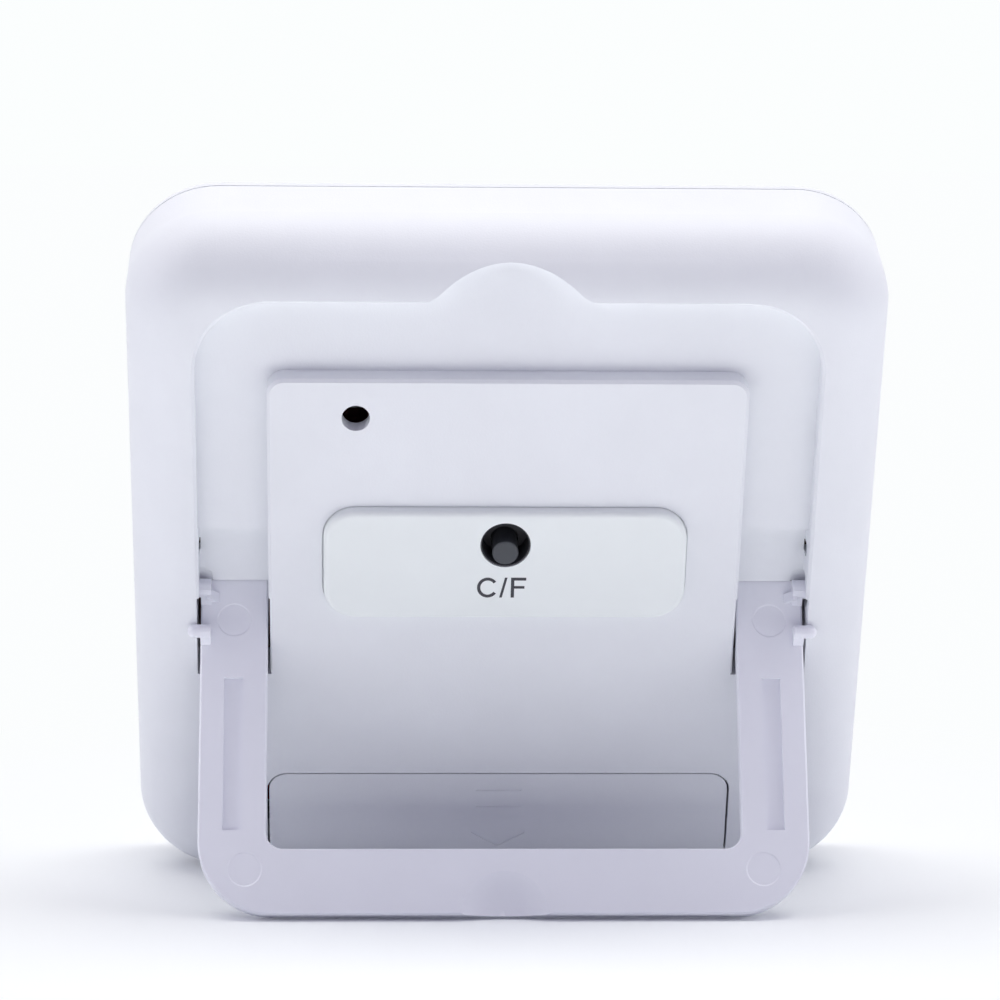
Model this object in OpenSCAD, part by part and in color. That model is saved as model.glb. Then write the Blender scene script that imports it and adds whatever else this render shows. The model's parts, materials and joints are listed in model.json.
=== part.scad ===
// Square desk thermometer and hygrometer, leaning back on a fold-out U-shaped stand.
// Every piece is drawn in the plan of the back: x across, y up the back, z into the case from the back face.
// The module placed() then leans the case back until the stand and the lower back edge both touch the floor.
// The display faces -Y, the back with the stand faces +Y, and the floor is z = 0.

/* [Case] */
// Width of the case
case_w = 86; // [80:0.5:96]
// Height of the case
case_h = 86; // [80:0.5:96]
// Depth of the case, from the back face to the front face
case_d = 17.2; // [16.8:0.2:24]
// Radius of the case corners, seen from the back
case_corner_r = 10.5; // [9:0.5:14]
// Radius of the large rounding around the back face
back_edge_r = 8; // [6:0.5:8.5]
// Radius of the small rounding around the front face
front_edge_r = 1.8; // [0.6:0.1:2]
// Thickness of the moulded walls
wall = 2; // [1.6:0.1:2.2]
// Thickness of the front bezel
bezel_t = 2.2; // [2.1:0.1:3]
// Open seam between the back shell and the bezel
seam = 0.15; // [0.1:0.05:0.3]
// Length of the bezel skirt inside the back shell
skirt_len = 3; // [2.4:0.1:3.2]
// Thickness of the bezel skirt
skirt_t = 1.2; // [0.8:0.1:1.6]
// Clearance between the skirt and the back shell
skirt_gap = 0.15; // [0.1:0.05:0.25]
// Radius of the snap beads on the skirt
snap_r = 0.5; // [0.3:0.05:0.6]
// Length of each snap bead
snap_len = 16; // [8:1:24]

/* [Stand recess] */
// Depth of the recess that holds the folded stand
channel_depth = 2.5; // [2.2:0.1:2.8]
// Distance from the side of the case to the recess
channel_side = 7.9; // [7.5:0.1:10]
// Distance from the top of the case to the recess
channel_top = 7.5; // [7:0.1:9]
// Width of the two upright runs of the recess
channel_leg_w = 8; // [7:0.1:9]
// Width of the top run of the recess
channel_bar_w = 9.4; // [8.6:0.1:11]
// Radius of the outer corners of the recess
channel_corner_r = 8.6; // [6:0.1:10]
// Radius of the corners of the raised island inside the recess
island_corner_r = 2; // [1:0.1:4]
// Chamfer along the recess edges
edge_chamfer = 0.35; // [0.1:0.05:0.5]
// Wall left under the floor of the recess
channel_floor_t = 1.8; // [1.2:0.1:2]
// Height of the finger notch above the recess
notch_rise = 4.4; // [3:0.1:4.8]
// Radius of the finger notch
notch_r = 11; // [9:0.5:14]
// Radius that blends the notch into the recess edge
notch_blend_r = 4; // [2:0.5:5]

/* [Stand] */
// Angle between the open stand and the back
stand_open = 46; // [36:1:56]
// Clearance between the folded stand and the sides of the recess
stand_gap = 0.12; // [0.1:0.01:0.3]
// How far the folded stand lies below the back face
stand_sink = 0.15; // [0.05:0.05:0.3]
// Clearance between the folded stand and the floor of the recess
stand_floor_gap = 0.2; // [0.1:0.05:0.3]
// Width of the cross bar of the stand
stand_bar_w = 7.6; // [6:0.1:8.4]
// Radius of the inner corners of the stand
stand_inner_r = 2; // [1:0.1:4]
// Chamfer along the stand edges
stand_chamfer = 0.2; // [0.1:0.05:0.5]
// Height of the hinge axis above the inner face of the legs
pivot_rise = 0.9; // [0.7:0.05:1.1]
// Distance of the hinge axis below the middle of the case
pivot_drop = 2.7; // [1.5:0.1:5]
// Length of the legs behind the hinge axis
heel = 1.25; // [1.15:0.05:1.3]
// Radius of the hinge pins
pin_r = 1.1; // [0.9:0.05:1.15]
// Running clearance of the hinge pins in their bores
pin_clear = 0.05; // [0.02:0.01:0.1]
// Length of the hinge pins
pin_len = 2.1; // [1.6:0.1:2.1]
// Width of the blocks that carry the hinge pins and the stop pegs
block_w = 1.2; // [1:0.1:1.6]
// Radius of the hollow in the hinge floor in which the hinge blocks turn
hollow_r = 2.4; // [2.2:0.05:2.6]
// Depth of this hollow below the hinge floor
hollow_deep = 0.2; // [0.15:0.05:0.5]
// Distance of the stop pegs from the hinge axis
peg_dist = 5.25; // [4.9:0.05:6]
// Radius of the stop pegs
peg_r = 0.78; // [0.6:0.02:0.9]
// How far the stop pegs stick out past the legs
peg_reach = 1.46; // [1:0.02:1.6]
// Gap between the stop pegs and the rim with the stand open
peg_stop_gap = 0.05; // [0.03:0.01:0.1]
// Clearance around the stop pegs in their sockets with the stand folded
peg_clear = 0.12; // [0.1:0.01:0.3]
// Distance of the lower end of the hinge pocket below the hinge axis
pocket_drop = 9.7; // [8.6:0.1:12]
// How far the hinge pocket is wider than the recess on its outer side
pocket_side = 0.3; // [0.1:0.05:0.4]
// How far the hinge pocket is wider than the recess on its inner side
pocket_inner = 0.15; // [0.05:0.05:0.3]
// Height of the step down to the hinge floor above the hinge axis
step_rise = 8.35; // [7.6:0.05:10]
// Width of the shallow groove in each leg
groove_w = 2.15; // [1.5:0.05:3]
// Length of the shallow groove in each leg
groove_len = 17.9; // [12:0.1:18]
// Depth of the shallow groove in each leg
groove_deep = 0.5; // [0.3:0.1:1.2]
// Radius of the finger scoop in the cross bar
scoop_r = 5; // [3:0.1:6]
// Depth of the dished finger scoop at the end of the cross bar
scoop_deep = 1.2; // [0.4:0.1:1.5]
// Radius of the shallow round ejector marks on the legs
mark_r = 2; // [1:0.05:2.4]

/* [Magnet plate] */
// Width of the raised plate
plate_w = 41.5; // [38:0.5:48]
// Height of the raised plate
plate_h = 13.9; // [12:0.1:17]
// Radius of the plate corners
plate_corner_r = 3.7; // [2:0.1:5]
// Radius of the rounding around the plate face
plate_edge_r = 0.6; // [0.2:0.1:1]
// How far the plate stands above the back face
plate_proud = 1.5; // [1:0.1:2]
// Depth of the seat of the plate in the back face
plate_seat = 0.4; // [0.2:0.1:0.8]
// Clearance around the plate in its seat
plate_gap = 0.15; // [0.1:0.05:0.25]
// How far the plate sits above the middle of its seat
seat_drop = 0.1; // [0:0.01:0.1]
// Height of the plate centre above the middle of the case
plate_y = 3; // [1:0.1:4.5]
// Width of each magnet
magnet_w = 10; // [6:0.5:11]
// Height of each magnet
magnet_h = 8; // [5:0.5:9]
// Thickness of each magnet
magnet_t = 1.1; // [0.6:0.1:1.2]
// Distance of the magnet centres from the middle
magnet_x = 11.5; // [9:0.1:12]
// Radius of the stakes that hold the plate
stake_r = 1; // [0.7:0.05:1.1]
// Radius of the formed heads of the stakes
stake_head_r = 1.5; // [1.3:0.05:1.8]

/* [Button and vent] */
// Radius of the button hole
button_hole_r = 2.88; // [2.86:0.01:3.1]
// Thickness of the dark sleeve that lines the button hole
sleeve_t = 0.13; // [0.1:0.01:0.14]
// Clearance of the sleeve in the button hole
sleeve_gap = 0.04; // [0.02:0.01:0.05]
// Depth of the sleeve rim below the plate face
sleeve_sink = 0.2; // [0.1:0.05:0.4]
// Height of the button hole above the plate centre
button_rise = 2.8; // [1.5:0.1:3]
// Offset of the switch below the axis of the button hole
switch_offset = 1.1; // [0:0.05:1.1]
// Radius of the switch plunger
plunger_r = 1.5; // [1.2:0.05:1.52]
// Depth of the plunger tip below the plate face
plunger_recess = 0; // [0:0.05:0.4]
// Height of the switch from the circuit board to the plunger tip
switch_h = 9.6; // [9.3:0.1:9.9]
// Height of the switch housing
switch_body_h = 3.4; // [3:0.1:4]
// Width of the switch housing
switch_w = 6; // [5.6:0.1:7]
// Travel of the plunger
switch_travel = 0.25; // [0.15:0.05:0.35]
// Running clearance of the plunger in the switch cover
plunger_clear = 0.08; // [0.03:0.01:0.1]
// Radius of the vent hole over the sensor
vent_r = 1.6; // [1:0.1:2]
// Distance of the vent hole from the side of the island
vent_side = 10; // [6:0.5:14]
// Distance of the vent hole from the top of the island
vent_top = 4.8; // [4:0.1:7]
// Width of the sensor
sensor_w = 4; // [3:0.5:6]
// Height of the sensor above the board
sensor_h = 1.6; // [1:0.1:2.4]

/* [Battery] */
// Length of the cell with its nub
cell_len = 44.5; // [43:0.5:46]
// Radius of the cell
cell_r = 5.25; // [5:0.05:5.4]
// Length of the nub on the cell
nub_len = 1.2; // [0.8:0.1:1.6]
// Radius of the nub on the cell
nub_r = 1.9; // [1.5:0.1:2.2]
// Clearance around the cell in its bay
cell_gap = 0.3; // [0.2:0.05:0.5]
// Space between the cell and the bottom wall
cell_lift = 1.8; // [1.6:0.05:3]
// Length of the contact spring under load
spring_len = 4.5; // [3.5:0.1:6]
// Radius of the wire of the contact spring
spring_wire_r = 0.35; // [0.25:0.05:0.45]
// Turns of the contact spring
spring_turns = 3; // [2:1:3]
// Thickness of the contact plates
contact_t = 0.4; // [0.3:0.05:0.6]
// Thickness of the walls of the battery bay
bay_wall = 1.2; // [1:0.1:1.6]
// Thickness of the battery door
door_t = 1.6; // [1.2:0.1:1.7]
// How far the door lies below the surface of the case
door_sink = 0.15; // [0.1:0.05:0.25]
// Gap around the door
door_gap = 0.25; // [0.15:0.05:0.4]
// Radius of the upper corners of the door
door_corner_r = 2.4; // [1:0.1:4]
// Distance from the bay wall to the upper edge of the door
door_ledge = 1; // [0.8:0.1:2]
// Distance from the bay wall to the side edges of the door
door_side = 1.4; // [1.3:0.1:2.4]
// Sliding travel that frees the door
door_travel = 5; // [4:0.25:5.25]
// Width of the holding tabs of the door
tab_w = 3; // [2:0.1:3.4]
// How far the holding tabs reach under the case wall
tab_reach = 1.1; // [0.7:0.1:1.4]
// How far the holding tabs reach below the flat part of the back
tab_low = 2.55; // [2:0.05:2.7]

/* [Display] */
// Distance from the side of the case to the display glass
bezel_side = 12; // [11.5:0.1:16]
// Distance from the top of the case to the display glass
bezel_top = 13; // [11:0.1:18]
// Margin of the clear window around the display glass
window_margin = 5; // [3:0.1:6]
// Radius of the window corners
window_corner_r = 4; // [1:0.5:6]
// Thickness of the clear window
window_t = 1.2; // [0.8:0.1:1.3]
// Thickness of the adhesive ring under the window
tape_t = 0.15; // [0.1:0.05:0.2]
// Border of the display glass that the bezel covers
glass_border = 2.5; // [1.5:0.1:4]
// Thickness of the front glass of the display
glass_front_t = 1.1; // [0.7:0.1:1.2]
// Thickness of the rear glass of the display
glass_rear_t = 0.9; // [0.6:0.1:1]
// Bare contact ledge of the front glass
glass_ledge = 3.4; // [3:0.1:5]
// Thickness of the reflector film
reflector_t = 0.15; // [0.1:0.05:0.3]
// Thickness of the holder walls around the glass
holder_wall = 1.5; // [1:0.1:1.6]
// Width of the elastomer connector strip
strip_w = 2; // [1.5:0.1:2.2]

/* [Circuit board] */
// Thickness of the circuit board
board_t = 1.6; // [1:0.1:1.6]
// Clearance between the circuit board and the case
board_gap = 0.5; // [0.4:0.05:1]
// Radius of the screw bosses
boss_r = 2.2; // [1.8:0.1:2.3]
// Radius of the screw shanks
screw_r = 0.8; // [0.6:0.05:0.9]
// Radius of the screw heads
screw_head_r = 1.8; // [1.5:0.1:2]
// Height of the screw heads
screw_head_h = 1.1; // [0.8:0.1:1.4]
// Length of the screw shanks
screw_len = 4.8; // [4:0.1:5]
// Radius of the sealed controller
blob_r = 5; // [3:0.1:6]
// Height of the sealed controller
blob_h = 1.5; // [1:0.1:2]
// Radius of the quartz crystal can
crystal_r = 1; // [0.8:0.05:1.2]
// Length of the quartz crystal can
crystal_len = 6; // [4:0.5:8]
// Radius of the battery leads
lead_r = 0.5; // [0.3:0.05:0.6]
// Bend radius of the battery leads
lead_bend = 1.6; // [1.2:0.1:2]

/* [Hidden] */
$fn = 96;

// Small overshoot of cuts past the faces that they open
over = 1;
// Depth by which pieces of one moulding sink into each other
sink = 0.5;

// Case
half_w = case_w / 2;
half_h = case_h / 2;
front_inner = case_d - bezel_t;
back_end = front_inner - seam;
edge_y = half_h - back_edge_r;
inner_w = case_w - 2 * wall;
inner_h = case_h - 2 * wall;
inner_corner_r = case_corner_r - wall;
inner_edge_r = back_edge_r - wall;

// Stand recess
channel_half = half_w - channel_side;
channel_y = half_h - channel_top;
island_half = channel_half - channel_leg_w;
island_y = channel_y - channel_bar_w;
pad_wall = channel_floor_t;
notch_y = channel_y + notch_rise - notch_r;
notch_blend_y = channel_y + notch_blend_r - notch_y;
notch_blend_x = sqrt(pow(notch_r + notch_blend_r, 2) - pow(notch_blend_y, 2));
notch_tangent_y = notch_y + notch_r * notch_blend_y / (notch_r + notch_blend_r);

// Hinge
pivot_y = -pivot_drop;
leg_out = channel_half - stand_gap;
leg_in = island_half + stand_gap;
stand_t = channel_depth - stand_sink - stand_floor_gap;
pivot_z = channel_depth - stand_floor_gap + pivot_rise;
stand_len = channel_y - stand_gap - pivot_y;
face_in = -pivot_rise;
face_out = face_in - stand_t;
block_in = leg_out - block_w;
block_shy = 0.05;
block_top = pin_r - block_shy;
block_flat = 0.5;
block_foot = 1.75;
peg_rise = (pivot_z + peg_r + peg_stop_gap - peg_dist * sin(stand_open)) / cos(stand_open);
peg_side = peg_r - block_shy;
peg_flat = 0.35;
peg_foot = 1.3;
peg_block_end = peg_dist + peg_foot;
peg_root_gap = 0.01;
pocket_y = pivot_y - pocket_drop;
step_y = pivot_y + step_rise;
step_foot = 0.33;
step_foot_y = pivot_y + step_foot;
step_z = pivot_z + peg_rise + peg_r + stand_floor_gap;
hollow_z = step_z + hollow_deep;
pocket_wall = 1.5;
pin_room = 0.1;
hinge_wall = pin_len + pin_room;
pocket_deep = 2.8;
pocket_wall_z = pivot_z + pocket_deep;
leg_end = heel + stand_gap;
leg_end_w = (step_foot - leg_end * cos(stand_open)) / sin(stand_open);
slope_z = pivot_z + leg_end * sin(stand_open) - leg_end_w * cos(stand_open);
through_z = pocket_wall_z + over;
through_y = step_foot_y - (through_z - slope_z) * tan(stand_open);

// Lean of the case at which the stand and the rounded lower edge of the back both touch the floor
foot_a = pivot_y - stand_len * cos(stand_open) + face_out * sin(stand_open) + edge_y;
foot_b = pivot_z - stand_len * sin(stand_open) - face_out * cos(stand_open) - back_edge_r;
lean = atan2(foot_b, foot_a) + acos(-back_edge_r / norm([foot_a, foot_b]));
rise = edge_y * cos(lean) - back_edge_r * sin(lean) + back_edge_r;
front_y = half_h - front_edge_r;
front_z = case_d - front_edge_r;
reach_back = edge_y * sin(lean) - back_edge_r * cos(lean) + back_edge_r;
reach_front = front_y * sin(lean) + front_z * cos(lean) + front_edge_r;
shift = (reach_front - reach_back) / 2;

// Plate, button and vent
button_y = plate_y + button_rise;
switch_y = button_y - switch_offset;
tip_z = plunger_recess - plate_proud;
vent_x = island_half - vent_side;
vent_y = island_y - vent_top;
stake_inset = 0.5;
stake_x = plate_w / 2 - plate_corner_r / 2 - stake_inset;
stake_gap = 0.1;
magnet_gap = 0.1;

// Battery
cell_y = -half_h + wall + cell_lift + cell_r;
cell_z = door_sink + door_t + cell_gap + cell_r;
bay_half = cell_len / 2 + spring_len / 2 + contact_t;
bay_y = cell_y + cell_r + cell_gap;
bay_low_gap = 0.5;
bay_low_y = -half_h + wall + bay_low_gap;
bay_z = cell_z + cell_r + cell_gap;
bay_out_y = bay_y + bay_wall;
bay_out_half = bay_half + bay_wall;
bay_floor_t = 1;
door_y = bay_out_y + door_ledge;
door_half = bay_out_half + door_side;
door_low_gap = 1;
door_low_z = back_edge_r - door_low_gap;
door_in_z = door_sink + door_t;
tab_y = -edge_y - tab_low + tab_w / 2;
tab_t = 1;
tab_root = 1;
tab_in = door_half - door_gap - tab_root;
tab_gap = 0.2;
tab_z = back_edge_r - sqrt(pow(inner_edge_r, 2) - pow(tab_low, 2)) + tab_gap;
cell_tip_x = bay_half - contact_t;
cell_end_x = cell_tip_x - cell_len;
contact_w = 8;
tail_w = 2;
tail_room = 1.5;
tail_z = tip_z + switch_h - lead_bend - tail_room;
tail_out = 1.6;
lead_x = bay_out_half + tail_out - lead_r;

// Display
glass_w = case_w - 2 * bezel_side;
holder_gap = 0.2;
holder_low_y = bay_out_y + board_gap;
glass_low_y = holder_low_y + holder_wall + holder_gap;
glass_top_y = half_h - bezel_top;
glass_h = glass_top_y - glass_low_y;
glass_y = (glass_top_y + glass_low_y) / 2;
glass_mid_z = front_inner - glass_front_t;
glass_back_z = glass_mid_z - glass_rear_t;
window_w = glass_w + 2 * window_margin;
window_h = glass_h + 2 * window_margin;
window_gap = 0.1;
window_sink = 0.05;
window_z = case_d - window_sink - window_t;
tape_w = window_margin - window_gap;
holder_ledge = glass_ledge;

// Circuit board
board_back_z = tip_z + switch_h;
board_front_z = board_back_z + board_t;
skirt_half_w = inner_w / 2 - skirt_gap - skirt_t;
skirt_half_h = inner_h / 2 - skirt_gap - skirt_t;
boss_x = skirt_half_w - board_gap - boss_r;
board_inset = 0.4;
board_half = boss_x + boss_r - board_inset;
board_top_y = skirt_half_h - inner_corner_r / 2;
board_low_y = bay_out_y + board_gap;
boss_edge = 1.2;
boss_inset = boss_r + boss_edge;
boss_ys = [board_low_y + boss_inset, board_top_y - boss_inset];
pilot_gap = 0.05;
hole_gap = 0.2;
crystal_gap = 0.05;

// Leans the case back and sets it on the floor, centred on the origin
module placed() {
    translate([0, shift, rise])
        rotate([90 - lean, 0, 0])
            children();
}

// Draws its child and the mirror image of it
module both_sides() {
    children();
    mirror([1, 0, 0])
        children();
}

// Extrudes an outline that is drawn in (y, z) across the case, from x0 to x1
module across(x0, x1) {
    translate([x0, 0, 0])
        rotate([90, 0, 90])
            linear_extrude(x1 - x0)
                children();
}

// Extrudes an outline that is drawn in (x, y) into the case, from z0 to z1
module into(z0, z1) {
    translate([0, 0, z0])
        linear_extrude(z1 - z0)
            children();
}

// Box between two corners
module box(low, high) {
    translate(low)
        cube(high - low);
}

// Rectangle with four round corners, centred on the origin
module rounded_rect(w, h, r) {
    square([w - 2 * r, h], center = true);
    square([w, h - 2 * r], center = true);
    for (sx = [-1, 1], sy = [-1, 1])
        translate([sx * (w / 2 - r), sy * (h / 2 - r)])
            circle(r);
}

// Block with round corners from z0 to z1, whose edge follows a profile in (distance from the corner axis, z)
module rounded_block(w, h, r, z0, z1) {
    flat_w = w - 2 * r;
    flat_h = h - 2 * r;
    translate([-flat_w / 2, -flat_h / 2, z0])
        cube([flat_w, flat_h, z1 - z0]);
    for (turn = [0 : 3]) {
        run = turn % 2 == 0 ? flat_h : flat_w;
        off = turn % 2 == 0 ? flat_w : flat_h;
        rotate([0, 0, 90 * turn]) {
            translate([off / 2, run / 2, 0])
                rotate([90, 0, 0])
                    linear_extrude(run)
                        children();
            translate([off / 2, run / 2, 0])
                rotate_extrude(angle = 90)
                    children();
        }
    }
}

// Edge profile with a round first edge
module round_profile(run, depth, r) {
    intersection() {
        square([run, depth]);
        union() {
            translate([0, r])
                square([run, depth - r]);
            square([run - r, depth]);
            translate([run - r, r])
                circle(r);
        }
    }
}

// Edge profile of a cut or island through the back face, with a chamfer that starts at the face
module chamfer_profile(run, depth, c) {
    polygon([[0, -over], [run - c, -over], [run - c, 0], [run, abs(c)], [run, depth], [0, depth]]);
}

// Outer form of the back shell
module case_form() {
    rounded_block(case_w, case_h, case_corner_r, 0, back_end)
        round_profile(case_corner_r, back_end, back_edge_r);
}

// Hollow of the back shell
module case_hollow() {
    translate([0, 0, wall])
        rounded_block(inner_w, inner_h, inner_corner_r, 0, back_end - wall + over)
            round_profile(inner_corner_r, back_end - wall + over, inner_edge_r);
}

// Snap beads on the skirt, or their grooves in the back shell
module snap_beads(r) {
    bead_z = front_inner - skirt_len / 2;
    for (sx = [-1, 1])
        translate([sx * (inner_w / 2 - skirt_gap), 0, bead_z])
            rotate([90, 0, 0])
                cylinder(r = r, h = snap_len, center = true);
    translate([0, inner_h / 2 - skirt_gap, bead_z])
        rotate([0, 90, 0])
            cylinder(r = r, h = snap_len, center = true);
}

// Outline of the finger notch, with its ends blended into the edge of the recess
module notch_outline() {
    difference() {
        translate([-notch_blend_x, channel_y - over])
            square([2 * notch_blend_x, notch_tangent_y - channel_y + over]);
        for (sx = [-1, 1])
            translate([sx * notch_blend_x, channel_y + notch_blend_r])
                circle(notch_blend_r);
    }
    intersection() {
        translate([0, notch_y])
            circle(notch_r);
        translate([-notch_r, notch_tangent_y])
            square([2 * notch_r, notch_r]);
    }
}

// Upper part of the recess: the top run, its corners and the straight runs down to the steps
module recess_cut() {
    tall = 2 * channel_y;
    intersection() {
        difference() {
            rounded_block(2 * channel_half, tall, channel_corner_r, -over, channel_depth)
                chamfer_profile(channel_corner_r, channel_depth, -edge_chamfer);
            translate([0, island_y - tall / 2, 0])
                rounded_block(2 * island_half, tall, island_corner_r, -over, channel_depth + over)
                    chamfer_profile(island_corner_r, channel_depth + over, edge_chamfer);
        }
        box([-half_w, step_y - sink, -2 * over], [half_w, half_h, channel_depth + over]);
    }
    into(-over, channel_depth)
        notch_outline();
}

// Solid floor under the recess and the finger notch
module recess_floor() {
    depth = channel_depth + channel_floor_t;
    intersection() {
        case_form();
        into(wall - sink, depth) {
            translate([-notch_r, island_y])
                square([2 * notch_r, channel_y + notch_rise + pad_wall - island_y]);
            intersection() {
                difference() {
                    rounded_rect(
                        2 * (channel_half + pad_wall), 2 * (channel_y + pad_wall), channel_corner_r + pad_wall
                    );
                    translate([0, island_y - pad_wall - half_h])
                        square([2 * (island_half - pad_wall), 2 * half_h], center = true);
                }
                translate([-half_w, step_y - sink])
                    square([2 * half_w, half_h]);
            }
        }
    }
}

// Solid block around one hinge pocket, on the +X side
module hinge_block() {
    box(
        [island_half - pocket_wall, pocket_y - pocket_wall, wall - sink],
        [channel_half + hinge_wall, step_y + pocket_wall, pocket_wall_z]
    );
}

// Shallow hollow in the hinge floor in which the hinge block turns, with a round inner end
module block_hollow() {
    end_r = 1;
    end_x = block_in - stand_gap;
    intersection() {
        translate([end_x, pivot_y, pivot_z])
            rotate([0, 90, 0])
                rotate_extrude() {
                    square([hollow_r - end_r, channel_half - end_x]);
                    translate([0, end_r])
                        square([hollow_r, channel_half - end_x - end_r]);
                    translate([hollow_r - end_r, end_r])
                        circle(end_r);
                }
        box([0, pivot_y - 2 * hollow_r, -over], [half_w, pivot_y + 2 * hollow_r, hollow_z]);
    }
}

// Socket in the side of the recess for the stop peg of the folded stand, open to the inside of the case
module peg_socket() {
    lap = 0.1;
    translate([channel_half - sink, pivot_y + peg_dist, pivot_z + peg_rise])
        peg_form(peg_r + peg_clear, leg_out + peg_reach + peg_clear - channel_half + sink);
    box(
        [channel_half - lap, pivot_y + peg_dist - peg_r, pivot_z + peg_rise],
        [leg_out + peg_reach - peg_r, pivot_y + peg_dist + peg_r, through_z]
    );
}

// Round peg along x, with a ball end
module peg_form(r, len) {
    rotate([0, 90, 0])
        rotate_extrude()
            intersection() {
                square([r, len]);
                union() {
                    square([r, len - r]);
                    translate([0, len - r])
                        circle(r);
                }
            }
}

// Everything that the stand needs open on the +X side: hinge floor, pocket, hollow, socket and hinge bore.
// The upper end of the pocket slopes along the end of the open leg.
module hinge_cut() {
    box([island_half, step_foot_y - sink, -over], [channel_half, step_y, step_z]);
    across(island_half - pocket_inner, channel_half + pocket_side)
        polygon([
            [pocket_y, -over], [step_foot_y, -over], [step_foot_y, slope_z],
            [through_y, through_z], [pocket_y, through_z]
        ]);
    translate([0, step_y, 0])
        rotate([90, 0, 0])
            linear_extrude(step_y - pocket_y)
                polygon([
                    [island_half - edge_chamfer, -over], [channel_half + edge_chamfer, -over],
                    [channel_half + edge_chamfer, 0], [channel_half, edge_chamfer],
                    [island_half, edge_chamfer], [island_half - edge_chamfer, 0]
                ]);
    block_hollow();
    peg_socket();
    translate([channel_half - sink, pivot_y, pivot_z])
        rotate([0, 90, 0])
            cylinder(r = pin_r + pin_clear, h = hinge_wall + 2 * sink);
}

// Side outline of the battery bay in (y, z), which follows the middle of the rounded case wall
module bay_outline() {
    mid_r = back_edge_r - wall / 2;
    polygon([
        [bay_out_y, wall / 2], [-edge_y, wall / 2],
        [-edge_y - mid_r * sin(45), back_edge_r - mid_r * cos(45)],
        [-edge_y - mid_r, back_edge_r], [-edge_y - mid_r, bay_z + bay_floor_t],
        [bay_out_y, bay_z + bay_floor_t]
    ]);
}

// Case wall between two depths below its surface, in (y, z), down to the lower edge of the door
module door_section(z0, z1, top_y, low_z) {
    difference() {
        intersection() {
            union() {
                translate([-edge_y, z0])
                    square([top_y + edge_y, back_edge_r]);
                translate([-edge_y, back_edge_r])
                    circle(back_edge_r - z0);
            }
            translate([-case_h, -over])
                square([case_h + top_y, low_z + over]);
        }
        translate([-edge_y, z1])
            square([case_h, case_d]);
        translate([-edge_y, back_edge_r])
            circle(back_edge_r - z1);
    }
}

// Plan of the door, with its upper corners rounded
module door_plan(half, top_y, r) {
    translate([0, top_y - half_h])
        rounded_rect(2 * half, 2 * half_h, r);
}

// Opening for the door, with notches through which its tabs lift out
module door_cut() {
    intersection() {
        across(-door_half, door_half)
            door_section(-over, wall + sink, door_y, door_low_z);
        into(-2 * over, case_d)
            door_plan(door_half, door_y, door_corner_r);
    }
    both_sides()
        box(
            [door_half - sink, tab_y - door_travel - tab_w / 2 - door_gap, -over],
            [door_half + tab_reach + door_gap, tab_y - tab_w / 2 - door_gap, tab_z + tab_t + door_gap]
        );
}

// Ribs across the bay that cradle the cell
module cradle_ribs() {
    rib_t = 1.4;
    for (x = [cell_end_x + cell_len / 4, cell_end_x + 3 * cell_len / 4])
        difference() {
            box([x - rib_t / 2, bay_low_y - sink, cell_z], [x + rib_t / 2, bay_y + sink, bay_z + sink]);
            translate([x - rib_t, cell_y, cell_z])
                rotate([0, 90, 0])
                    cylinder(r = cell_r + cell_gap / 2, h = 2 * rib_t);
        }
}

module back_shell() {
    color("#e4e5ee")
        placed() {
            difference() {
                union() {
                    difference() {
                        case_form();
                        case_hollow();
                    }
                    recess_floor();
                    both_sides()
                        hinge_block();
                    across(-bay_out_half, bay_out_half)
                        bay_outline();
                }
                recess_cut();
                both_sides()
                    hinge_cut();
                door_cut();
                box([-bay_half, bay_low_y, wall / 2], [bay_half, bay_y, bay_z]);
                for (side = [-1, 1])
                    box(
                        [side * (bay_half + bay_wall / 2) - bay_wall, cell_y - tail_w / 2 - stake_gap,
                            tail_z - contact_t / 2 - stake_gap],
                        [side * (bay_half + bay_wall / 2) + bay_wall, cell_y + tail_w / 2 + stake_gap,
                            tail_z + contact_t / 2 + stake_gap]
                    );
                translate([0, plate_y - seat_drop, 0])
                    into(-over, plate_seat)
                        rounded_rect(
                            plate_w + 2 * plate_gap, plate_h + 2 * plate_gap, plate_corner_r + plate_gap
                        );
                for (side = [-1, 1])
                    translate([side * stake_x, plate_y, -over])
                        cylinder(r = stake_r + stake_gap, h = wall + 2 * over);
                translate([0, button_y, -over])
                    cylinder(r = button_hole_r, h = wall + 2 * over);
                translate([vent_x, vent_y, -over])
                    cylinder(r = vent_r, h = wall + 2 * over);
                snap_beads(snap_r + window_gap);
            }
            cradle_ribs();
        }
}

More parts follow.
